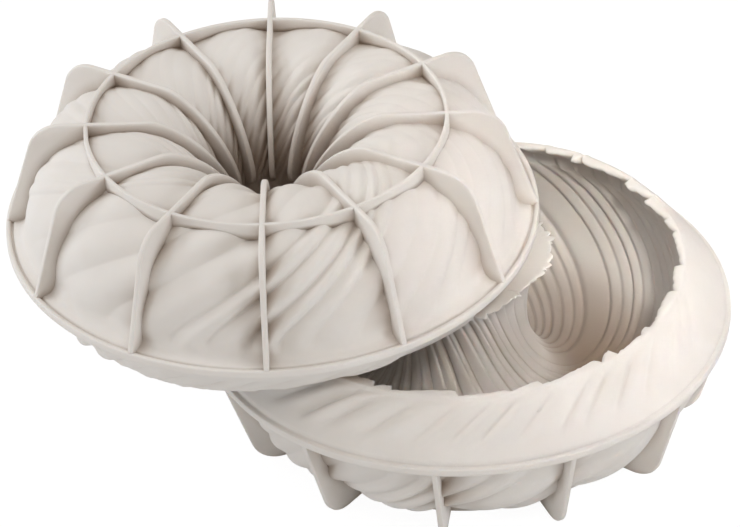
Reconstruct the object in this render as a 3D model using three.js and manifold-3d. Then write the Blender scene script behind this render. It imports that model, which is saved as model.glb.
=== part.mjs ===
// Two identical silicone ring cake moulds: one stands on its fins, the other lies turned over on top of it.
// Millimetres, +Z up. Each mould is drawn standing, with z = 0 at the feet and its axis on Z.
import * as THREE from "three";
import { mergeVertices } from "three/addons/utils/BufferGeometryUtils.js";
import Module from "manifold-3d";

const wasm = await Module();
wasm.setup();

// Clearance between pieces that touch
const gap = 0.3;

// Rim: the flat band round the mould
const rimRadius = 125;
const rimHeight = 52.5;
const rimThickness = 4;
const rimEdge = 0.8;

// Bowl: the ring-shaped trough, measured on its outside
const wall = 3;
const flangeWidth = 10;
const wallRadius = rimRadius - flangeWidth;
const wallFullness = 2.3;
const crestRadius = 63;
const crestHeight = 3;
const neckRadius = 23.5;
const funnelFullness = 1.9;

// Petals that swell between the fins, and swirling folds, pressed into the bowl
const petalDepth = 1.7;
const foldCount = 12;
const foldDepth = 0.7;
const foldTwist = 3.2;

// Collar: the sloping flange from the rim up to the mouth
const mouthRadius = 97.5;
const lipWidth = 2.5;
const lipRadius = mouthRadius + lipWidth;
const lipHeight = 22.5;
const lipDrop = 1.2;
const collarInset = 1;
const collarBulge = 1.4;
const collarWall = 3;

// Cap: the head of the centre tube
const capRadius = 42;
const capHeight = 24;
const capEdge = 2;
const neckHeight = 9;

// Fins and the ring that ties their feet together
const finCount = 12;
const finThickness = 2.6;
const finSlope = 0.335;
const finShoulder = 16;
const finFootInner = 54;
const finEndRadius = 16.5;
const finEndHeight = 42;
const finEndFullness = 1.5;
const ringRadius = 83.7;
const ringThickness = 2.4;
const lapHeight = 3;

// How the turned mould lies on the standing one
const axisOffset = 89.5;
const upperSpin = THREE.MathUtils.degToRad(7.2);

// Fineness of the round forms
const bowlSegments = 48;
const roundSegments = 48;
const capSegments = 36;
const bowlSteps = 6;
const curveSteps = 6;

const rimTop = rimHeight + rimThickness;
const lipTop = rimTop + lipHeight;
const capTop = rimTop + capHeight;
const bowlTop = rimHeight - gap;

// A closed geometry as a solid that can be cut
function solidOf(geometry) {
  const bare = new THREE.BufferGeometry();
  bare.setAttribute("position", geometry.getAttribute("position"));
  bare.setIndex(geometry.index);
  const merged = mergeVertices(bare, 1e-4);
  const mesh = new wasm.Mesh({
    numProp: 3,
    vertProperties: merged.getAttribute("position").array,
    triVerts: new Uint32Array(merged.index.array),
  });
  return new wasm.Manifold(mesh);
}

// The geometry of a solid
function geometryOf(solid) {
  const mesh = solid.getMesh();
  const geometry = new THREE.BufferGeometry();
  geometry.setAttribute("position", new THREE.BufferAttribute(mesh.vertProperties, 3));
  geometry.setIndex(new THREE.BufferAttribute(mesh.triVerts, 1));
  geometry.computeVertexNormals();
  return geometry;
}

// A profile of [radius, height] points turned about Z
function turned(profile, segments) {
  const points = profile.map(([radius, height]) => new THREE.Vector2(radius, height));
  return new THREE.LatheGeometry(points, segments).rotateX(Math.PI / 2);
}

// A closed profile turned about Z
function turnedRing(profile, segments) {
  return turned([...profile, profile[0]], segments);
}

// A quarter of a superellipse about a corner, as [radius, height] points
function superQuarter(corner, reach, fullness, steps) {
  const points = [];
  for (let i = 0; i <= steps; i += 1) {
    const turn = (i / steps) * (Math.PI / 2);
    const across = Math.cos(turn) ** (2 / fullness);
    const down = Math.sin(turn) ** (2 / fullness);
    points.push([corner[0] + reach[0] * across, corner[1] + reach[1] * down]);
  }
  return points;
}

// The bowl's section from under the rim, round the crest, to the neck, set into the wall by inset
function bowlOutline(inset) {
  const corner = [crestRadius, bowlTop];
  const depth = crestHeight + inset - bowlTop;
  const outer = superQuarter(corner, [wallRadius - inset - crestRadius, depth], wallFullness, bowlSteps);
  const inner = superQuarter(corner, [neckRadius + inset - crestRadius, depth], funnelFullness, bowlSteps);
  return [...outer, ...inner.reverse().slice(1)];
}

// Presses the petals and the swirling folds into a turned geometry
function fold(geometry) {
  const place = geometry.getAttribute("position");
  const point = new THREE.Vector3();
  for (let i = 0; i < place.count; i += 1) {
    point.fromBufferAttribute(place, i);
    const radius = Math.hypot(point.x, point.y);
    const angle = Math.atan2(point.y, point.x);
    const turn = Math.max(0, Math.atan2(bowlTop - point.z, radius - crestRadius));
    const petal = petalDepth * Math.cos(finCount * angle);
    const wave = foldDepth * Math.sin(foldCount * angle + foldTwist * turn);
    const push = Math.sin(turn) * (wave - petal);
    const moved = radius + push * Math.cos(turn);
    place.setXYZ(
      i,
      moved * Math.cos(angle),
      moved * Math.sin(angle),
      point.z - push * Math.sin(turn),
    );
  }
  return geometry;
}

// Everything that the bowl takes up, grown by the clearance, for cutting what seats on it
function bowlPlug() {
  const outline = bowlOutline(-gap);
  const above = rimTop;
  const profile = [...outline, [neckRadius - gap, above], [wallRadius + gap, above]];
  return solidOf(fold(turnedRing(profile.reverse(), bowlSegments)));
}

function bowlGeometry() {
  const profile = [...bowlOutline(0).reverse(), ...bowlOutline(wall)];
  return fold(turnedRing(profile, bowlSegments));
}

function rimGeometry() {
  const inside = wallRadius - wall;
  return turnedRing(
    [
      [inside, rimHeight],
      [rimRadius - rimEdge, rimHeight],
      [rimRadius, rimHeight + rimEdge],
      [rimRadius, rimTop - rimEdge],
      [rimRadius - rimEdge, rimTop],
      [inside, rimTop],
    ],
    roundSegments,
  );
}

// The slope from the rim to the lip, bulging outwards a little
function collarSlope(foot) {
  const start = new THREE.Vector2(rimRadius - collarInset, foot);
  const end = new THREE.Vector2(lipRadius, lipTop);
  const along = end.clone().sub(start).normalize();
  const outwards = new THREE.Vector2(along.y, -along.x);
  const control = start.clone().lerp(end, 0.5).addScaledVector(outwards, 2 * collarBulge);
  const curve = new THREE.QuadraticBezierCurve(start, control, end);
  return curve.getPoints(curveSteps).map((point) => [point.x, point.y]);
}

function collarGeometry() {
  const foot = rimTop + gap;
  const inside = wallRadius - wall;
  const slope = lipHeight / (rimRadius - lipRadius);
  const under = lipTop - lipDrop - collarWall;
  return turnedRing(
    [
      [inside, foot],
      ...collarSlope(foot),
      [mouthRadius, lipTop - lipDrop],
      [mouthRadius, under],
      [inside, under - slope * (inside - mouthRadius)],
    ],
    roundSegments,
  );
}

function capGeometry() {
  const neckTop = rimHeight + neckHeight;
  const outside = neckRadius + wall;
  const under = capTop - wall;
  return turned(
    [
      [0, under],
      [capRadius - 2 * wall, under],
      [neckRadius, neckTop],
      [neckRadius, rimHeight],
      [outside, rimHeight],
      [outside, neckTop - wall / 2],
      [capRadius, capTop - capEdge],
      [capRadius - capEdge / 2, capTop],
      [0, capTop],
    ],
    capSegments,
  );
}

// A slot in the fins where the ring passes, and in the ring where the fins pass
function lapBlock(length, width, bottom, top) {
  const block = new THREE.BoxGeometry(length, width, top - bottom);
  return solidOf(block.translate(ringRadius, 0, (bottom + top) / 2));
}

function finGeometry(plug) {
  const lean = Math.atan(finSlope);
  const shoulderRadius =
    rimRadius - finSlope * bowlTop - finShoulder * Math.tan(Math.PI / 4 - lean / 2);
  const outline = new THREE.Shape();
  outline.moveTo(crestRadius, bowlTop);
  outline.lineTo(crestRadius, finEndHeight);
  const reach = [finEndRadius - finFootInner, -finEndHeight];
  const inward = superQuarter([finFootInner, finEndHeight], reach, finEndFullness, curveSteps);
  for (const [radius, height] of inward) {
    outline.lineTo(radius, height);
  }
  outline.absarc(shoulderRadius, finShoulder, finShoulder, -Math.PI / 2, -lean, false);
  outline.lineTo(rimRadius, bowlTop);
  const plate = new THREE.ExtrudeGeometry(outline, {
    depth: finThickness,
    bevelEnabled: false,
    curveSegments: curveSteps,
  });
  plate.translate(0, 0, -finThickness / 2).rotateX(Math.PI / 2);
  const slot = lapBlock(ringThickness + 2 * gap, 2 * finThickness, -lapHeight, lapHeight + gap);
  return geometryOf(solidOf(plate).subtract(plug).subtract(slot));
}

function ringGeometry(plug) {
  const inside = ringRadius - ringThickness / 2;
  const outside = ringRadius + ringThickness / 2;
  const top = crestHeight + 3 * lapHeight;
  const band = turnedRing(
    [
      [inside, 0],
      [outside, 0],
      [outside, top],
      [inside, top],
    ],
    bowlSegments,
  );
  let ring = solidOf(band).subtract(plug);
  const slot = lapBlock(4 * ringThickness, finThickness + 2 * gap, lapHeight, 2 * top);
  for (let i = 0; i < finCount; i += 1) {
    ring = ring.subtract(slot.rotate([0, 0, (i * 360) / finCount]));
  }
  return geometryOf(ring);
}

function piece(name, geometry) {
  const silicone = new THREE.MeshStandardMaterial({ color: 0xd9d2cb, roughness: 0.6, metalness: 0 });
  const mesh = new THREE.Mesh(geometry, silicone);
  mesh.name = name;
  return mesh;
}

const plug = bowlPlug();
const shapes = {
  bowl: bowlGeometry(),
  rim: rimGeometry(),
  collar: collarGeometry(),
  cap: capGeometry(),
  foot_ring: ringGeometry(plug),
};
const finShape = finGeometry(plug);

// One whole mould, standing
function mould(prefix) {
  const group = new THREE.Group();
  for (const [name, geometry] of Object.entries(shapes)) {
    group.add(piece(`${prefix}_${name}`, geometry));
  }
  for (let i = 0; i < finCount; i += 1) {
    const fin = piece(`${prefix}_fin_${String(i + 1).padStart(2, "0")}`, finShape);
    fin.rotation.z = (i * 2 * Math.PI) / finCount;
    group.add(fin);
  }
  return group;
}

// The turned mould lies level, with its cap on the lower lip and its lip on the lower cap
const upper = mould("upper");
upper.rotation.x = Math.PI;
const seat = new THREE.Group();
seat.position.set(-axisOffset, 0, lipTop + gap + capTop);
seat.rotation.z = upperSpin;
seat.add(upper);

const pair = new THREE.Group();
pair.add(mould("lower"), seat);

// The origin is under the middle of the pair, on the surface it stands on
const middle = new THREE.Box3().setFromObject(pair, true).getCenter(new THREE.Vector3());
pair.position.set(-middle.x, -middle.y, 0);

const part = new THREE.Group();
part.add(pair);

export default part;
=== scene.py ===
# Two silicone ring cake moulds, one standing and one turned over on top of it.
# Lengths are millimetres until a mesh is made, and each mould is drawn standing on z = 0 about its own axis.
import math
import bpy
import numpy as np
from mathutils import Matrix, Vector


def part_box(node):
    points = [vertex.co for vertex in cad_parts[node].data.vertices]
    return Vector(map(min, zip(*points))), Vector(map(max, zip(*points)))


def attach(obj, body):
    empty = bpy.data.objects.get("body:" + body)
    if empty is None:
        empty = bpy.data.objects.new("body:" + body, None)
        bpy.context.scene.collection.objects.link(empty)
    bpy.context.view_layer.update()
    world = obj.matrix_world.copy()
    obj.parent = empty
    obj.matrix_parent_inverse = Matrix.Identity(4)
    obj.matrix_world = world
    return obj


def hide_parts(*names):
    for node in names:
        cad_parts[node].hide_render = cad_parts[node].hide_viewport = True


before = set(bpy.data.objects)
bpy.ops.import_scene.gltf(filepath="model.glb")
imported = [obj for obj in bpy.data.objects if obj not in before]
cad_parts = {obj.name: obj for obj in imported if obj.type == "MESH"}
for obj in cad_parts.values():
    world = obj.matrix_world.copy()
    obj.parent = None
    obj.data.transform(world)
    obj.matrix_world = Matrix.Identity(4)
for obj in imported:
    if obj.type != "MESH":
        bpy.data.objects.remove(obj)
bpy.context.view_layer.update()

MM = 0.001
MOULDS = ("lower", "upper")
UPPER_SPIN = math.radians(7.2)
QUARTER = math.pi / 2
COLUMNS = 540
SEED = 7

# Rim and flange
RIM_RADIUS = 125.0
RIM_BOTTOM = 52.5
RIM_TOP = 56.4
BEAD_WIDTH = 2.0
BEAD_ROUND = 0.7
GROOVE_DEPTH = 1.4
GROOVE_WIDTH = 1.9
FLANGE_WIDTH = 10.0
FLANGE_LIFT = 0.6
FLANGE_FILLET = 1.2
FILLET_REACH = 5.0

# Bowl, on its outside; the wall's curve starts a little way round its quarter
WALL = 4.2
WALL_RADIUS = RIM_RADIUS - FLANGE_WIDTH
WALL_FULLNESS = 2.3
WALL_START = 0.14
BOWL_TOP = 52.2
CREST_RADIUS = 63.0
CREST_HEIGHT = 3.0
NECK_RADIUS = 23.5
NECK_TOP = 66.0
FUNNEL_FULLNESS = 1.9

# Petals that swell between the fins
PETAL_DEPTH = 1.9
PETAL_ROUND = 0.4
PETAL_VALLEY = 0.02
PETAL_INSIDE = 0.15
PETAL_SKEW = 1.5
PETAL_BREADTH = 0.55

# Collar and lip, with [radius, height] points from the cavity's wall up to the lip
COLLAR_FOOT = 57.6
COLLAR_BULGE = 1.4
COLLAR_CORNER = 62.5
MOUTH_FOOT = (105.5, 69.6)
MOUTH_EDGE = (97.4, 76.6)
MOUTH_TIP = (95.9, 78.1)
LIP_START = (97.8, 78.8)
LIP_CREST = (99.6, 79.3)
LIP_TOP = 79.0
LIP_RADIUS = 100.0

# Cap on the centre tube
CAP_TOP = 80.5
CAP_RADIUS = 42.0
HOLLOW_RADIUS = 27.0
POLE_RADIUS = 2.0

# The side with nothing lying on it springs up: the mouth rises and widens, and the cap rises past a hinge
FREE_SIDE = (-60.0, 60.0)
MOUTH_SPREAD = 3.5
MOUTH_LIFT = 3.0
MOUTH_FADE = 1.5
CAP_LIFT = 8.0
CAP_HINGE = 14.0
CAP_FREE = 36.0
CAP_FADE = 1.4

# Fins and foot ring
FIN_COUNT = 12
FIN_THICKNESS = 2.5
FIN_SLOPE = 0.335
FIN_SHOULDER = 16.0
FIN_FOOT_INNER = 54.0
FIN_END = (16.5, 42.0)
FIN_END_FULLNESS = 1.5
FIN_ROOT = 1.35
FIN_HEAD = RIM_BOTTOM + 0.8
FIN_STATIONS = 110
RING_RADIUS = 83.7
RING_THICKNESS = 1.9
RING_ROOT = 0.9
RING_DROP = 0.1
RING_STATIONS = 360

# Across a fin, from edge to root: depth at most, share of the way at most, and share of half the thickness
FIN_PROFILE = (
    (0, 0, 0.6),
    (0.2, 0.06, 0.88),
    (0.6, 0.12, 1.0),
    (2.0, 0.25, 1.02),
    (8.0, 0.5, 1.04),
    (60, 0.8, 1.08),
    (60, 0.92, 1.12),
    (60, 1.0, 1.15),
)

# Across the foot ring, from root to edge: share of its height, and share of half the thickness
RING_PROFILE = ((1, 1.2), (0.6, 1.1), (0.3, 1.05), (0.1, 1.0), (0.03, 0.9), (0, 0.7))

# Swirl of the relief: how far a ridge turns for each degree round the section, inside and outside
SWIRL_INSIDE = 0.5
SWIRL_OUTSIDE = 0.65
SWIRL_EASE = 12.0
WAVES = (2, 3, 5, 7)
WAVE_DRIFT = 1.5
WAVE_SWAY = 0.035

# Kinds of relief: mean width in columns and its spread, share of the drop, power of the rise, and strengths
STRONG = {"width": 14, "spread": 0.6, "drop": 0.16, "power": 0.75, "strength": (0.65, 1.0)}
FINE = {"drop": 0.2, "power": 0.75, "strength": (0.5, 1.0)}
BROAD = {"width": 13, "spread": 0.3, "power": 1.3, "strength": (0.6, 1.0)}
PLEATS = {"width": 12, "spread": 0.3, "power": 1.3, "strength": (0.4, 1.0)}
TEETH = {"width": 17, "spread": 0.75, "drop": 0.05, "power": 0.9, "strength": (0.25, 1.1)}
NICKS = {"width": 5, "spread": 0.6, "drop": 0.3, "power": 0.8, "strength": (0, 1.0)}
CROWN = {"width": 9, "spread": 0.7, "drop": 0.2, "power": 0.9, "strength": (0.1, 1.2)}
FLUTES = {"drop": 0.25, "power": 0.6, "strength": (0.7, 1.0)}
RIDGE_FALL = 0.8
FOLD_LEAN = 0.8

# Share of the strong ridges that split in two, and the widths that may
SPLIT_SHARE = 0.6
SPLIT_WIDTHS = (8, 19)

# Evenly spaced ridges and folds: from and to an angle round the mould, and their spacing, in degrees
PLAIN_BAND = (73.0, 86.0, 13.0)
CLOSE_RIDGES = (86.0, 121.0, 5.0)
WIDE_FOLDS = (288.0, 360.0, 18.0)
EDGE_MARGIN = 3

# Ridges in the cavity, which give way to flutes on the centre tube, in degrees round the section
RIDGE_DEPTH = 2.5
RIDGE_LEVEL = 0.45
RIDGE_MOUTH = 0.4
FLUTE_EXTRA = 0.5
FLUTE_TURN = (100, 140)
FLARE_DEPTH = 3.0
FLARE_GROWTH = 0.7

# Folds outside are strongest between rim and crest and on one side, in degrees round section and mould
FOLD_DEPTH = 4.2
FOLD_START = (1, 8)
FOLD_LOSS = 2.6
FOLD_LOSS_TURN = (50, 85)
FOLD_GAIN = 0.5
FOLD_GAIN_TURN = (100, 130)
FOLD_REST = 0.2
FOLD_SIDE = 272.0
FOLD_FOCUS = 7
FUNNEL_FOLDS = 0.5
FUNNEL_TURN = (90, 120)

# Pleats on the collar, on its near side, as shares of the way down it
PLEAT_DEPTH = 4.2
PLEAT_TOP = (0, 0.15)
PLEAT_FOOT = (0.9, 0.55)
DRAPE = (-0.2, 0.5)
DRAPE_TURN = 0.2

# Ragged edges of the mouth and of the cap
TOOTH_PLACE = (97.5, 77.8)
TOOTH_REACH = 2.2
TOOTH_BASE = 2.0
TOOTH_LENGTH = 5.5
CROWN_PLACE = (CAP_RADIUS, CAP_TOP - 1.5)
CROWN_REACH = 2.5
CROWN_BASE = 1.6
CROWN_LENGTH = 3.0
CROWN_NICK = 0.5

# Painted shade in the hollows: the trough's floor, with painted shadow most on one side, the funnel, and
# painted shadow on the wall beside each fin
SHADE_REST = 0.3
SHADE_SIDE = 15.0
TROUGH_HEIGHT = (26, 5)
WELL_SHADE = 0.8
WELL_HEIGHT = (8, 44)
WELL_RADIUS = (48, 36)
FIN_SHADE = 0.65
PIT_SHADE = 0.55
PIT_WIDTH = 0.16
PIT_START = (2, 10)
PIT_END = (45, 15)

# Colours of the silicone, then of the painted shade in its crevices and in its hollows
PALE = (0.79, 0.755, 0.715, 1)
PALER = (0.84, 0.81, 0.775, 1)
CREVICE_SHADE = (0.33, 0.24, 0.17, 1)
DEEP_SHADE = (0.28, 0.205, 0.15, 1)

# Camera, in metres and radians
CAMERA_TARGET = Vector((-0.0034, 0.0218, 0.0626))
CAMERA_DISTANCE = 2.4
CAMERA_SIDE = math.radians(9.37)
CAMERA_RISE = math.radians(36.04)
CAMERA_ROLL = math.radians(-3.14)
CAMERA_LENS = 245.2
CAMERA_SENSOR = 36

# Floor, in metres, and light from all round that is stronger from straight above
FLOOR_REACH = 6.0
FLOOR_DROP = 0.0002
FLOOR_COLOUR = (0.75, 0.75, 0.75, 1)
FLOOR_GLOW = 1.12
FLOOR_GLOW_SHARE = 0.85
SKY_COLOUR = (1, 0.94, 0.88, 1)
SKY_HORIZON = 0.32
SKY_ZENITH = 0.74

# Lamps: place and target in metres, size, power, colour and spread in degrees
COOL = (0.95, 1.0, 1.06)
WARM = (1.04, 0.985, 0.92)
MIDDLE = (0, 0, 0.08)
CAVITY = (0.11, 0.06, 0.05)
LAMPS = {
    "left": ((-1.4, 0.3, 0.9), MIDDLE, 0.5, 4.5, COOL, 180),
    "right": ((1.33, -0.62, 0.53), MIDDLE, 0.5, 5.2, COOL, 180),
    "low": ((-1.3, -0.8, 0.35), MIDDLE, 0.5, 3, COOL, 180),
    "high": ((-0.95, 0.1, 1.4), MIDDLE, 0.5, 3, COOL, 180),
    "inside": ((0.5, -0.9, 1.2), CAVITY, 0.15, 0.075, WARM, 13),
}


# Section curves, as arrays of [radius, height] without their last point

def line(start, end, steps):
    t = np.linspace(0, 1, steps, endpoint=False)[:, None]
    return (1 - t) * np.array(start) + t * np.array(end)


def bend(start, corner, end, steps):
    t = np.linspace(0, 1, steps, endpoint=False)[:, None]
    return (1 - t) ** 2 * np.array(start) + 2 * t * (1 - t) * np.array(corner) + t ** 2 * np.array(end)


def super_quarter(corner, reach, fullness, steps, first=0, last=QUARTER):
    turn = np.linspace(first, last, steps, endpoint=False)
    across = np.cos(turn) ** (2 / fullness)
    down = np.sin(turn) ** (2 / fullness)
    return np.stack([corner[0] + reach[0] * across, corner[1] + reach[1] * down], axis=1)


def super_quarter_back(corner, reach, fullness, steps):
    return super_quarter(corner, reach, fullness, steps, QUARTER, 0)


# The whole section of a mould in order: cap, cavity, lip, collar, rim, outside, funnel and head hollow

def section():
    corner = (CREST_RADIUS, BOWL_TOP)
    inner_depth = CREST_HEIGHT + WALL - BOWL_TOP
    outer_depth = CREST_HEIGHT - BOWL_TOP
    inner_neck = NECK_RADIUS + WALL
    inner_wall = WALL_RADIUS - WALL
    tube_reach = (inner_neck - CREST_RADIUS, inner_depth)
    wall_reach = (inner_wall - CREST_RADIUS, inner_depth)
    outer_reach = (WALL_RADIUS - CREST_RADIUS, outer_depth)
    funnel_reach = (NECK_RADIUS - CREST_RADIUS, outer_depth)

    cap_turn = (CAP_RADIUS - 2, CAP_TOP)
    cap_end = (CAP_RADIUS, CAP_TOP - 0.8)
    cap_under = (CAP_RADIUS - 4, CAP_TOP - 3)
    neck_end = (NECK_RADIUS, NECK_TOP)
    hollow_corner = (HOLLOW_RADIUS, CAP_TOP - WALL)

    bead = RIM_RADIUS - BEAD_WIDTH
    bead_edge = RIM_RADIUS - BEAD_ROUND
    lip_end = (LIP_RADIUS + 0.6, LIP_TOP - 0.5)
    collar_top = (LIP_RADIUS + 1.8, LIP_TOP - 1.9)
    collar_foot = (bead - 0.4, COLLAR_FOOT)
    along = np.subtract(collar_foot, collar_top)
    outward = np.array([-along[1], along[0]]) / np.hypot(*along)
    collar_middle = np.add(collar_top, collar_foot) / 2 + 2 * COLLAR_BULGE * outward
    crease = (bead - 0.6, RIM_TOP + 0.2)
    bead_top = (bead_edge, RIM_TOP)
    bead_bottom = (bead_edge, RIM_BOTTOM)
    rim_upper = (RIM_RADIUS, RIM_TOP - BEAD_ROUND)
    rim_lower = (RIM_RADIUS, RIM_BOTTOM + BEAD_ROUND)

    flange = RIM_BOTTOM + FLANGE_LIFT
    groove_start = (bead, RIM_BOTTOM)
    groove_deep = (bead - 0.8, RIM_BOTTOM + 2 * GROOVE_DEPTH)
    groove_end = (bead - GROOVE_WIDTH, flange)
    flange_end = (WALL_RADIUS + 4.5, flange - 0.2)
    wall_corner = (WALL_RADIUS + 0.1, flange - 0.3)
    wall_top = (WALL_RADIUS - 0.2, BOWL_TOP - 6)
    outer = super_quarter(corner, outer_reach, WALL_FULLNESS, 25, WALL_START)

    stretches = [
        ("cap", line((POLE_RADIUS, CAP_TOP), (CAP_HINGE, CAP_TOP), 1)),
        ("cap", line((CAP_HINGE, CAP_TOP), cap_turn, 2)),
        ("cap_edge", bend(cap_turn, (CAP_RADIUS + 0.2, CAP_TOP), cap_end, 5)),
        ("cap_edge", bend(cap_end, (CAP_RADIUS - 1, CAP_TOP - 1.8), cap_under, 4)),
        ("flare", bend(cap_under, (inner_neck, CAP_TOP - 6), (inner_neck, BOWL_TOP), 10)),
        ("cavity", super_quarter(corner, tube_reach, FUNNEL_FULLNESS, 24)),
        ("cavity", super_quarter_back(corner, wall_reach, WALL_FULLNESS, 25)),
        ("cavity", bend((inner_wall, BOWL_TOP), (inner_wall, COLLAR_CORNER), MOUTH_FOOT, 7)),
        ("mouth", line(MOUTH_FOOT, MOUTH_EDGE, 5)),
        ("mouth", bend(MOUTH_EDGE, MOUTH_TIP, LIP_START, 4)),
        ("lip", bend(LIP_START, LIP_CREST, lip_end, 4)),
        ("lip", bend(lip_end, (lip_end[0] + 0.3, collar_top[1] + 0.1), collar_top, 2)),
        ("collar", bend(collar_top, collar_middle, collar_foot, 14)),
        ("rim", line(collar_foot, crease, 1)),
        ("rim", line(crease, (bead, RIM_TOP), 1)),
        ("rim", line((bead, RIM_TOP), bead_top, 1)),
        ("rim", bend(bead_top, (RIM_RADIUS, RIM_TOP), rim_upper, 2)),
        ("rim", line(rim_upper, rim_lower, 1)),
        ("rim", bend(rim_lower, (RIM_RADIUS, RIM_BOTTOM), bead_bottom, 2)),
        ("rim", line(bead_bottom, groove_start, 1)),
        ("rim", bend(groove_start, groove_deep, groove_end, 4)),
        ("outside", line(groove_end, flange_end, 2)),
        ("outside", bend(flange_end, wall_corner, wall_top, 5)),
        ("outside", line(wall_top, outer[0], 2)),
        ("outside", outer),
        ("outside", super_quarter_back(corner, funnel_reach, FUNNEL_FULLNESS, 24)),
        ("hollow", line((NECK_RADIUS, BOWL_TOP), neck_end, 2)),
        ("hollow", bend(neck_end, (NECK_RADIUS, NECK_TOP + 5), hollow_corner, 3)),
        ("hollow", line(hollow_corner, (POLE_RADIUS, CAP_TOP - WALL), 2)),
    ]
    points = np.concatenate([stretch for _, stretch in stretches])
    names = np.concatenate([[name] * len(stretch) for name, stretch in stretches])
    return points, names


# Unit normals of the section, pointing out of the material

def section_normals(points):
    along = np.gradient(points, axis=0)
    along /= np.linalg.norm(along, axis=1, keepdims=True)
    return np.stack([-along[:, 1], along[:, 0]], axis=1)


# Angle round the section's centre, in degrees: 0 at the rim's level, 90 at the crest, 180 at the neck

def section_turn(points):
    turn = np.degrees(np.arctan2(BOWL_TOP - points[:, 1], points[:, 0] - CREST_RADIUS))
    return np.where(turn < -100, turn + 360, turn)


# Outside, the swirl eases off where the section passes the rim

def swirl_outside(turn):
    return SWIRL_OUTSIDE * (turn - SWIRL_EASE * np.tanh(turn / SWIRL_EASE))


# 0 before low, 1 past high and smooth in between; high may be the lesser one

def smooth_step(low, high, value):
    t = np.clip((value - low) / (high - low), 0, 1)
    return t * t * (3 - 2 * t)


# 1 at a place in the section, falling to 0 around it

def nearness(points, place, reach):
    return np.exp(-((points[:, 0] - place[0]) ** 2 + (points[:, 1] - place[1]) ** 2) / reach ** 2)


# Edges of irregular ridges, in whole columns round the full turn

def ridge_edges(random, kind):
    count = round(COLUMNS / kind["width"])
    widths = random.uniform(1 - kind["spread"], 1 + kind["spread"], count)
    edges = np.round(np.cumsum(widths) / widths.sum() * COLUMNS).astype(int)
    return np.concatenate([[0], edges])


# The same edges, evenly spaced from one angle to another, in degrees

def respaced(edges, start, end, spacing):
    steps = round((end - start) / spacing)
    even = np.round(np.linspace(start, end, steps + 1) / 360 * COLUMNS).astype(int)
    kept = edges[(edges < even[0] - EDGE_MARGIN) | (edges > even[-1] + EDGE_MARGIN)]
    return np.unique(np.concatenate([kept, even]))


# Height across each ridge: a slow rise and a steep drop

def ridge_heights(random, kind, edges):
    strengths = random.uniform(*kind["strength"], len(edges))
    drop = kind["drop"]
    height = np.zeros(COLUMNS)
    for k, (first, last) in enumerate(zip(edges[:-1], edges[1:])):
        t = np.arange(last - first) / (last - first)
        rise = np.sin(np.pi / 2 * np.minimum(1, t / (1 - drop))) ** kind["power"]
        fall = np.clip((1 - t) / drop, 0, 1) ** RIDGE_FALL
        height[first:last] = strengths[k] * rise * fall
    return height


# Height across each soft fold

def fold_heights(random, kind, edges):
    strengths = random.uniform(*kind["strength"], len(edges))
    height = np.zeros(COLUMNS)
    for k, (first, last) in enumerate(zip(edges[:-1], edges[1:])):
        t = np.arange(last - first) / (last - first)
        height[first:last] = strengths[k] * np.sin(np.pi * t ** FOLD_LEAN) ** kind["power"]
    return height


# Heights of all the relief, column by column

def relief(random):
    strong = respaced(ridge_edges(random, STRONG), *PLAIN_BAND)
    strong = respaced(strong, *CLOSE_RIDGES)
    heights = {"strong": ridge_heights(random, STRONG, strong)}
    widths = np.diff(strong)
    split = random.random(len(widths)) < SPLIT_SHARE
    split &= (widths > SPLIT_WIDTHS[0]) & (widths < SPLIT_WIDTHS[1])
    halfway = (strong[:-1] + strong[1:]) // 2
    middles = [middle + random.integers(-1, 2) for middle in halfway[split]]
    fine = np.unique(np.concatenate([strong, middles]))
    heights["fine"] = ridge_heights(random, FINE, fine)
    broad = respaced(ridge_edges(random, BROAD), *WIDE_FOLDS)
    heights["broad"] = fold_heights(random, BROAD, broad)
    heights["pleats"] = fold_heights(random, PLEATS, ridge_edges(random, PLEATS))
    heights["teeth"] = ridge_heights(random, TEETH, ridge_edges(random, TEETH))
    heights["nicks"] = ridge_heights(random, NICKS, ridge_edges(random, NICKS))
    heights["crown"] = ridge_heights(random, CROWN, ridge_edges(random, CROWN))
    flutes = np.unique(np.concatenate([strong[::2], [0, COLUMNS]]))
    heights["flutes"] = ridge_heights(random, FLUTES, flutes)
    return heights


# Place of an angle between two fins, from 0 to 1

def between_fins(angle):
    return (angle * FIN_COUNT / (2 * math.pi)) % 1


# Swell of the petals round the mould: -1 at a fin and 1 at its height, past half-way between two fins

def petal(angle):
    wave = np.sin(math.pi * between_fins(angle) ** PETAL_SKEW) ** 2
    low = PETAL_VALLEY ** PETAL_ROUND
    high = (1 + PETAL_VALLEY) ** PETAL_ROUND
    return 2 * ((wave + PETAL_VALLEY) ** PETAL_ROUND - low) / (high - low) - 1


# Share of the petals' swell that reaches a place in the section

def petal_share(turn):
    return np.sin(np.radians(np.clip(turn, 0, 180))) ** PETAL_BREADTH


# Angle of each column at each point of the section: columns follow the swirl and sway a little

def column_angles(random, names, turn):
    inside = np.isin(names, ["cap", "cap_edge", "flare", "cavity", "mouth", "lip"])
    lip_turn = turn[names == "lip"][-1]
    twist_in = SWIRL_INSIDE * turn
    twist_out = swirl_outside(turn) - swirl_outside(lip_turn) + SWIRL_INSIDE * lip_turn
    twist = np.where(inside, twist_in, twist_out)
    twist[names == "cap"] = twist_in[names == "cap_edge"][0]
    twist[names == "hollow"] = twist_out[names == "outside"][-1]
    phase = np.linspace(0, 2 * math.pi, COLUMNS, endpoint=False)
    sway = np.zeros((len(names), COLUMNS))
    for waves in WAVES:
        start = random.uniform(0, 2 * math.pi)
        drift = random.uniform(-WAVE_DRIFT, WAVE_DRIFT)
        sway += np.sin(waves * phase[None, :] + start + drift * np.radians(turn)[:, None]) / waves
    return phase[None, :] - np.radians(twist)[:, None] + WAVE_SWAY * sway


# How far the relief pushes the surface out along its normals

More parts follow.
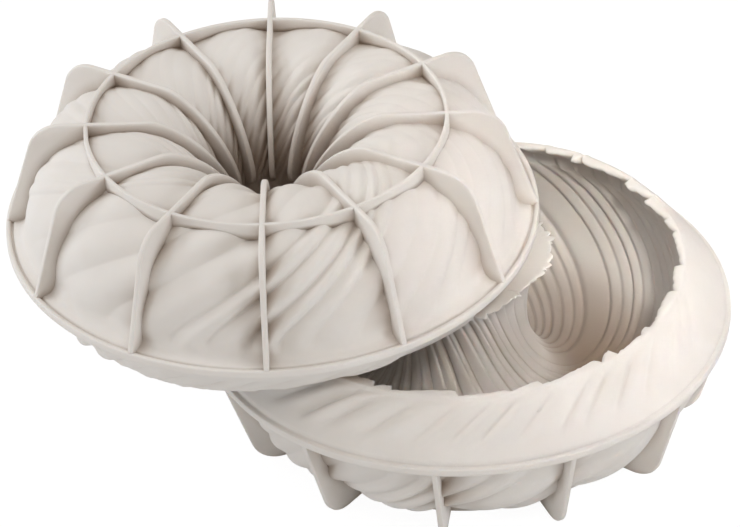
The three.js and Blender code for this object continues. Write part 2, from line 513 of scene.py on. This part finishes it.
def cavity_push(names, turn, heights):
    flare = names == "flare"
    mouth = names == "mouth"
    past = smooth_step(*FLUTE_TURN, turn)
    strength = np.where(names == "cavity", RIDGE_DEPTH + FLUTE_EXTRA * past, 0.0)
    strength[flare] = FLARE_DEPTH * np.linspace(0, 1, flare.sum()) ** FLARE_GROWTH
    strength[mouth] = np.linspace(RIDGE_DEPTH, RIDGE_MOUTH, mouth.sum())
    inner = np.outer(1 - past, 0.35 * heights["strong"] + 0.65 * heights["fine"])
    inner += np.outer(past, 0.55 * heights["flutes"] + 0.45 * heights["strong"])
    return strength[:, None] * (inner - RIDGE_LEVEL)


def outside_push(names, turn, angle, heights):
    strength = np.where(names == "outside", smooth_step(*FOLD_START, turn), 0.0)
    loss = FOLD_LOSS * smooth_step(*FOLD_LOSS_TURN, turn)
    strength *= FOLD_DEPTH - loss + FOLD_GAIN * smooth_step(*FOLD_GAIN_TURN, turn)
    side = ((1 + np.cos(angle - math.radians(FOLD_SIDE))) / 2) ** FOLD_FOCUS
    funnel = FUNNEL_FOLDS * smooth_step(*FUNNEL_TURN, turn)
    share = FOLD_REST + (1 - FOLD_REST) * np.maximum(side, funnel[:, None])
    return strength[:, None] * share * (heights["broad"] - 0.5)


def collar_push(names, angle, heights):
    collar = names == "collar"
    down = np.linspace(0, 1, collar.sum())
    strength = np.zeros(len(names))
    strength[collar] = PLEAT_DEPTH * smooth_step(*PLEAT_TOP, down) * smooth_step(*PLEAT_FOOT, down)
    draped = smooth_step(*DRAPE, -np.sin(angle + DRAPE_TURN))
    return strength[:, None] * draped * (heights["pleats"] - 0.5)


def petal_push(names, points, turn, angle):
    outside = names == "outside"
    cavity = np.isin(names, ["flare", "cavity", "mouth"])
    wave = petal(angle)
    swell = PETAL_DEPTH * petal_share(turn)
    swell = np.where(outside, swell, np.where(cavity, -PETAL_INSIDE * swell, 0.0))
    fillet = FLANGE_FILLET * nearness(points, (WALL_RADIUS, RIM_BOTTOM), FILLET_REACH) * outside
    return swell[:, None] * wave + fillet[:, None] * (1 + wave) / 2


# How far the ragged edges are pulled outwards

def edge_pull(names, points, heights):
    mouth = nearness(points, TOOTH_PLACE, TOOTH_REACH) * np.isin(names, ["mouth", "lip"])
    cap = nearness(points, CROWN_PLACE, CROWN_REACH) * np.isin(names, ["cap", "cap_edge"])
    teeth = TOOTH_BASE - TOOTH_LENGTH * heights["teeth"] - heights["nicks"]
    crown = CROWN_LENGTH * heights["crown"] + CROWN_NICK * heights["nicks"] - CROWN_BASE
    return np.outer(mouth, teeth) + np.outer(cap, crown)


# Share of the free side's rise that reaches a place in the section, at the mouth and at the cap

def mouth_rise(names):
    collar = names == "collar"
    rise = np.isin(names, ["mouth", "lip"]) + 0.0
    rise[collar] = np.linspace(1, 0, collar.sum()) ** MOUTH_FADE
    return rise


def cap_rise(names):
    flare = names == "flare"
    rise = np.isin(names, ["cap", "cap_edge"]) + 0.0
    rise[flare] = np.linspace(1, 0, flare.sum()) ** CAP_FADE
    return rise


# How deep a place lies in the funnel, from 0 at its brim to 1

def funnel_depth(radius, height):
    return smooth_step(*WELL_HEIGHT, height) * smooth_step(*WELL_RADIUS, radius)


# Painted shade of the hollows: the trough's floor, the funnel, and painted shadow on the wall near the rim
# beside each fin

def shell_shade(names, points, turn, angle):
    trough = smooth_step(*TROUGH_HEIGHT, points[:, 1]) * np.isin(names, ["cavity", "flare"])
    shady_side = np.clip(np.cos(angle - math.radians(SHADE_SIDE)), 0, 1) ** 2
    well = WELL_SHADE * funnel_depth(points[:, 0], points[:, 1]) * np.isin(names, ["outside", "hollow"])
    rim_wall = (names == "outside") * smooth_step(*PIT_START, turn) * smooth_step(*PIT_END, turn)
    pit = PIT_SHADE * rim_wall[:, None] * np.exp(-(between_fins(angle) / PIT_WIDTH) ** 2)
    return trough[:, None] * (SHADE_REST + (1 - SHADE_REST) * shady_side) + well[:, None] + pit


def shell_mesh():
    random = np.random.default_rng(SEED)
    points, names = section()
    normals = section_normals(points)
    turn = section_turn(points)
    angle = column_angles(random, names, turn)
    heights = relief(random)
    push = cavity_push(names, turn, heights)
    push += outside_push(names, turn, angle, heights)
    push += collar_push(names, angle, heights)
    push += petal_push(names, points, turn, angle)
    free = smooth_step(*FREE_SIDE, points[:, 0][:, None] * np.cos(angle))
    rise = mouth_rise(names)[:, None] * free
    pull = edge_pull(names, points, heights) + MOUTH_SPREAD * rise
    radius = points[:, 0][:, None] + push * normals[:, 0][:, None] + pull
    height = points[:, 1][:, None] + push * normals[:, 1][:, None] + MOUTH_LIFT * rise
    x = radius * np.cos(angle)
    y = radius * np.sin(angle)
    height += CAP_LIFT * cap_rise(names)[:, None] * smooth_step(CAP_HINGE, CAP_FREE, x)
    place = np.stack([x, y, height], axis=2).reshape(-1, 3)
    poles = np.array([[0, 0, CAP_TOP], [0, 0, CAP_TOP - WALL]])
    mesh = mesh_of("mould_shell", np.concatenate([place, poles]), grid_faces(len(points), COLUMNS))
    # Painted shade and shadow of the hollows, kept on the mesh for the material
    shade = shell_shade(names, points, turn, angle)
    mark_painted_shade(mesh, np.concatenate([shade.ravel(), [0, 1]]))
    return mesh


# Quads of a grid that closes on itself across, with a fan to a pole at each end

def grid_faces(rows, columns):
    row, column = np.meshgrid(np.arange(rows - 1), np.arange(columns), indexing="ij")
    here = row * columns + column
    beside = row * columns + (column + 1) % columns
    quads = np.stack([here, here + columns, beside + columns, beside], axis=2).reshape(-1, 4)
    around = np.arange(columns)
    following = (around + 1) % columns
    first_pole = rows * columns
    last = (rows - 1) * columns
    first_fan = np.stack([np.full(columns, first_pole), around, following], axis=1)
    last_fan = np.stack([np.full(columns, first_pole + 1), last + following, last + around], axis=1)
    return [*quads.tolist(), *first_fan.tolist(), *last_fan.tolist()]


# Quads along a tube of equal rings, which may close on itself

def tube_faces(rings, around, closed):
    faces = []
    for i in range(rings if closed else rings - 1):
        first = i * around
        second = (i + 1) % rings * around
        for j in range(around):
            k = (j + 1) % around
            faces.append([first + j, first + k, second + k, second + j])
    return faces


# Keeps the painted shade of each point in the attribute that the material darkens by
def mark_painted_shade(mesh, depth):
    mesh.attributes.new("depth", "FLOAT", "POINT").data.foreach_set("value", depth.astype(np.float32))


def mesh_of(name, place, faces):
    mesh = bpy.data.meshes.new(name)
    mesh.from_pydata((place * MM).tolist(), [], faces)
    mesh.update()
    mesh.shade_smooth()
    return mesh


# Points spread evenly along a curve

def evenly(points, count):
    steps = np.linalg.norm(np.diff(points, axis=0), axis=1)
    length = np.concatenate([[0], np.cumsum(steps)])
    at = np.linspace(0, length[-1], count)
    return np.stack([np.interp(at, length, points[:, i]) for i in range(2)], axis=1)


# The fin's free edge, from the rim over the shoulder and the foot into the funnel

def fin_edge():
    lean = math.atan(FIN_SLOPE)
    shoulder = RIM_RADIUS - FIN_SLOPE * BOWL_TOP - FIN_SHOULDER * math.tan(math.pi / 4 - lean / 2)
    arc = np.linspace(-lean, -QUARTER, 16)
    arc_points = np.stack([shoulder + FIN_SHOULDER * np.cos(arc), FIN_SHOULDER * (1 + np.sin(arc))], axis=1)
    reach = (FIN_END[0] - FIN_FOOT_INNER, -FIN_END[1])
    inward = super_quarter_back((FIN_FOOT_INNER, FIN_END[1]), reach, FIN_END_FULLNESS, 30)
    ends = np.array([FIN_END, (FIN_END[0] + 0.4, FIN_END[1] + 4), (NECK_RADIUS + 0.2, BOWL_TOP)])
    start = np.array([(RIM_RADIUS - 0.2, FIN_HEAD)])
    return np.concatenate([start, arc_points, inward, ends])


# The fin's root line, sunk into the valley between two petals

def fin_root():
    points, names = section()
    outside = names == "outside"
    sink = PETAL_DEPTH * petal_share(section_turn(points)) + FIN_ROOT
    root = (points - sink[:, None] * section_normals(points))[outside]
    start = np.array([(RIM_RADIUS - 1.2, FIN_HEAD)])
    end = np.array([(NECK_RADIUS + FIN_ROOT, BOWL_TOP + 1)])
    return np.concatenate([start, root, end])


def fin_mesh():
    edge = evenly(fin_edge(), FIN_STATIONS)
    root = evenly(fin_root(), FIN_STATIONS)
    depths, shares, widths = np.array(FIN_PROFILE).T
    widths = FIN_THICKNESS / 2 * widths
    place = []
    for outer, inner in zip(edge, root):
        reach = np.linalg.norm(inner - outer)
        share = np.minimum(depths / max(reach, 1e-6), shares)
        side = [(outer + s * (inner - outer), w) for s, w in zip(share, widths)]
        left = [(p[0], w, p[1]) for p, w in reversed(side)]
        right = [(p[0], -w, p[1]) for p, w in side]
        place.extend(left + right)
    around = 2 * len(widths)
    faces = tube_faces(FIN_STATIONS, around, False)
    faces.append(list(range(around))[::-1])
    faces.append([(FIN_STATIONS - 1) * around + j for j in range(around)])
    place = np.array(place)
    mesh = mesh_of("mould_fin", place, faces)
    # Painted shade on the fins where they reach deep into the funnel
    mark_painted_shade(mesh, FIN_SHADE * funnel_depth(place[:, 0], place[:, 2]))
    return mesh


# The foot ring, whose root follows the petals

def ring_mesh():
    points, names = section()
    outer = points[(names == "outside") & (points[:, 0] > CREST_RADIUS)][::-1]
    seat = np.interp(RING_RADIUS, outer[:, 0], outer[:, 1])
    swell = PETAL_DEPTH * petal_share(section_turn(np.array([[RING_RADIUS, seat]])))[0]
    shares, widths = np.array(RING_PROFILE).T
    widths = RING_THICKNESS / 2 * widths
    place = []
    for angle in np.linspace(0, 2 * math.pi, RING_STATIONS, endpoint=False):
        depth = seat - swell * petal(angle) + RING_ROOT - RING_DROP
        outward = [(RING_RADIUS + w, RING_DROP + depth * s) for s, w in zip(shares, widths)]
        inward = [(RING_RADIUS - w, RING_DROP + depth * s) for s, w in zip(shares[::-1], widths[::-1])]
        place.extend((r * math.cos(angle), r * math.sin(angle), z) for r, z in outward + inward)
    mesh = mesh_of("mould_ring", np.array(place), tube_faces(RING_STATIONS, 2 * len(shares), True))
    mark_painted_shade(mesh, np.zeros(len(place)))
    return mesh


def silicone():
    material = bpy.data.materials.new("silicone")
    material.use_nodes = True
    nodes = material.node_tree.nodes
    links = material.node_tree.links
    shader = nodes["Principled BSDF"]
    shader.inputs["Subsurface Weight"].default_value = 0.15
    shader.inputs["Subsurface Radius"].default_value = (1.0, 0.75, 0.55)
    shader.inputs["Subsurface Scale"].default_value = 0.003
    shader.inputs["Specular IOR Level"].default_value = 0.25
    place = nodes.new("ShaderNodeTexCoord")

    # Slight differences of tone
    tone = nodes.new("ShaderNodeTexNoise")
    tone.inputs["Scale"].default_value = 28
    tone.inputs["Detail"].default_value = 4
    links.new(place.outputs["Object"], tone.inputs["Vector"])
    ramp = nodes.new("ShaderNodeValToRGB")
    ramp.color_ramp.elements[0].position = 0.3
    ramp.color_ramp.elements[0].color = PALE
    ramp.color_ramp.elements[1].position = 0.7
    ramp.color_ramp.elements[1].color = PALER
    links.new(tone.outputs["Fac"], ramp.inputs["Fac"])

    # Painted shade: crevices and hollows are made warmer and darker than the open surface, by how hidden the
    # surface is nearby
    hidden = nodes.new("ShaderNodeAmbientOcclusion")
    hidden.samples = 8
    hidden.inputs["Distance"].default_value = 0.009
    open_share = nodes.new("ShaderNodeMapRange")
    open_share.inputs["From Min"].default_value = 0.0
    open_share.inputs["From Max"].default_value = 0.75
    links.new(hidden.outputs["AO"], open_share.inputs["Value"])
    colour = nodes.new("ShaderNodeMix")
    colour.data_type = "RGBA"
    colour.inputs["A"].default_value = CREVICE_SHADE
    links.new(open_share.outputs["Result"], colour.inputs["Factor"])
    links.new(ramp.outputs["Color"], colour.inputs["B"])
    # Painted shade and shadow of the hollows: the stored attribute mixes the colour towards a dark warm
    # brown
    depth = nodes.new("ShaderNodeAttribute")
    depth.attribute_name = "depth"
    deep = nodes.new("ShaderNodeMix")
    deep.data_type = "RGBA"
    deep.inputs["B"].default_value = DEEP_SHADE
    links.new(depth.outputs["Fac"], deep.inputs["Factor"])
    links.new(colour.outputs["Result"], deep.inputs["A"])
    links.new(deep.outputs["Result"], shader.inputs["Base Color"])

    # Fine grain of the matte surface
    grain = nodes.new("ShaderNodeTexNoise")
    grain.inputs["Scale"].default_value = 900
    grain.inputs["Detail"].default_value = 3
    links.new(place.outputs["Object"], grain.inputs["Vector"])
    rough = nodes.new("ShaderNodeMapRange")
    rough.inputs["To Min"].default_value = 0.6
    rough.inputs["To Max"].default_value = 0.75
    links.new(grain.outputs["Fac"], rough.inputs["Value"])
    links.new(rough.outputs["Result"], shader.inputs["Roughness"])
    bump = nodes.new("ShaderNodeBump")
    bump.inputs["Strength"].default_value = 0.12
    bump.inputs["Distance"].default_value = 0.0002
    links.new(grain.outputs["Fac"], bump.inputs["Height"])
    links.new(bump.outputs["Normal"], shader.inputs["Normal"])
    return material


def add_object(name, data):
    thing = bpy.data.objects.new(name, data)
    bpy.context.scene.collection.objects.link(thing)
    return thing


def add_piece(name, mesh, matrix, body, *nodes):
    own_mesh = mesh.copy()
    own_mesh.transform(matrix)
    piece = add_object(name, own_mesh)
    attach(piece, body)
    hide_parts(*nodes)


# Where a mould stands: over its rim's middle, and turned over if it is the upper one

def mould_matrix(which):
    low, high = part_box(f"{which}_rim")
    middle = (Vector(low) + Vector(high)) / 2
    if which == "lower":
        return Matrix.Translation((middle.x, middle.y, 0))
    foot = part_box("upper_foot_ring")[1][2]
    spin = Matrix.Rotation(UPPER_SPIN, 4, "Z")
    return Matrix.Translation((middle.x, middle.y, foot)) @ spin @ Matrix.Rotation(math.pi, 4, "X")


def build_moulds():
    finish = silicone()
    shell = shell_mesh()
    fin = fin_mesh()
    ring = ring_mesh()
    for mesh in (shell, fin, ring):
        mesh.materials.append(finish)
    for which in MOULDS:
        matrix = mould_matrix(which)
        body = f"{which}_mould"
        shell_nodes = [f"{which}_{part}" for part in ("bowl", "rim", "collar", "cap")]
        free_side = Matrix.Rotation(math.pi if which == "upper" else 0, 4, "Z")
        add_piece(f"{which}_shell", shell, matrix @ free_side, body, *shell_nodes)
        add_piece(f"{which}_foot_band", ring, matrix, body, f"{which}_foot_ring")
        for i in range(FIN_COUNT):
            turn = Matrix.Rotation(2 * math.pi * i / FIN_COUNT, 4, "Z")
            number = f"{i + 1:02d}"
            add_piece(f"{which}_blade_{number}", fin, matrix @ turn, body, f"{which}_fin_{number}")


def add_camera():
    camera = add_object("camera", bpy.data.cameras.new("camera"))
    turn = Matrix.Rotation(CAMERA_SIDE, 4, "Z") @ Matrix.Rotation(QUARTER - CAMERA_RISE, 4, "X")
    place = CAMERA_TARGET + turn @ Vector((0, 0, CAMERA_DISTANCE))
    camera.matrix_world = Matrix.Translation(place) @ turn @ Matrix.Rotation(CAMERA_ROLL, 4, "Z")
    camera.data.lens = CAMERA_LENS
    camera.data.sensor_width = CAMERA_SENSOR
    bpy.context.scene.camera = camera


def add_lamp(name, place, target, size, power, colour, spread):
    light = bpy.data.lights.new(name, "AREA")
    light.shape = "DISK"
    light.size = size
    light.energy = power
    light.color = colour
    light.spread = math.radians(spread)
    lamp = add_object(name, light)
    lamp.location = place
    lamp.rotation_euler = (Vector(target) - Vector(place)).to_track_quat("-Z", "Y").to_euler()


# 1 for rays that show a surface straight, in a mirror or through glass, and 0 for rays that only light it

def shown_share(nodes, links):
    path = nodes.new("ShaderNodeLightPath")
    shown = path.outputs["Is Camera Ray"]
    for name in ("Is Glossy Ray", "Is Transmission Ray"):
        either = nodes.new("ShaderNodeMath")
        either.operation = "MAXIMUM"
        links.new(shown, either.inputs[0])
        links.new(path.outputs[name], either.inputs[1])
        shown = either.outputs["Value"]
    return shown


# A pale floor that looks white but lights the moulds as a plain surface does

def add_floor():
    corners = [(-1, -1), (1, -1), (1, 1), (-1, 1)]
    mesh = bpy.data.meshes.new("floor")
    mesh.from_pydata([(FLOOR_REACH * x, FLOOR_REACH * y, 0) for x, y in corners], [], [(0, 1, 2, 3)])
    floor = add_object("floor", mesh)
    floor.location.z = -FLOOR_DROP
    material = bpy.data.materials.new("floor")
    material.use_nodes = True
    nodes = material.node_tree.nodes
    links = material.node_tree.links
    diffuse = nodes["Principled BSDF"]
    diffuse.inputs["Base Color"].default_value = FLOOR_COLOUR
    diffuse.inputs["Roughness"].default_value = 0.9
    glow = nodes.new("ShaderNodeEmission")
    glow.inputs["Strength"].default_value = FLOOR_GLOW
    share = nodes.new("ShaderNodeMath")
    share.operation = "MULTIPLY"
    share.inputs[1].default_value = FLOOR_GLOW_SHARE
    mix = nodes.new("ShaderNodeMixShader")
    links.new(shown_share(nodes, links), share.inputs[0])
    links.new(share.outputs["Value"], mix.inputs["Fac"])
    links.new(diffuse.outputs["BSDF"], mix.inputs[1])
    links.new(glow.outputs["Emission"], mix.inputs[2])
    links.new(mix.outputs["Shader"], nodes["Material Output"].inputs["Surface"])
    mesh.materials.append(material)


# Soft light from all round, in front of a white background

def add_world():
    world = bpy.data.worlds.new("studio")
    bpy.context.scene.world = world
    world.use_nodes = True
    nodes = world.node_tree.nodes
    links = world.node_tree.links
    soft = nodes["Background"]
    soft.inputs["Color"].default_value = SKY_COLOUR
    direction = nodes.new("ShaderNodeTexCoord")
    upward = nodes.new("ShaderNodeSeparateXYZ")
    links.new(direction.outputs["Generated"], upward.inputs["Vector"])
    level = nodes.new("ShaderNodeMapRange")
    level.inputs["To Min"].default_value = SKY_HORIZON
    level.inputs["To Max"].default_value = SKY_ZENITH
    links.new(upward.outputs["Z"], level.inputs["Value"])
    links.new(level.outputs["Result"], soft.inputs["Strength"])
    white = nodes.new("ShaderNodeBackground")
    white.inputs["Strength"].default_value = 1
    mix = nodes.new("ShaderNodeMixShader")
    links.new(shown_share(nodes, links), mix.inputs["Fac"])
    links.new(soft.outputs["Background"], mix.inputs[1])
    links.new(white.outputs["Background"], mix.inputs[2])
    links.new(mix.outputs["Shader"], nodes["World Output"].inputs["Surface"])


build_moulds()
add_camera()
add_floor()
add_world()
for name, lamp in LAMPS.items():
    add_lamp(name, *lamp)
bpy.context.scene.view_settings.view_transform = "Standard"
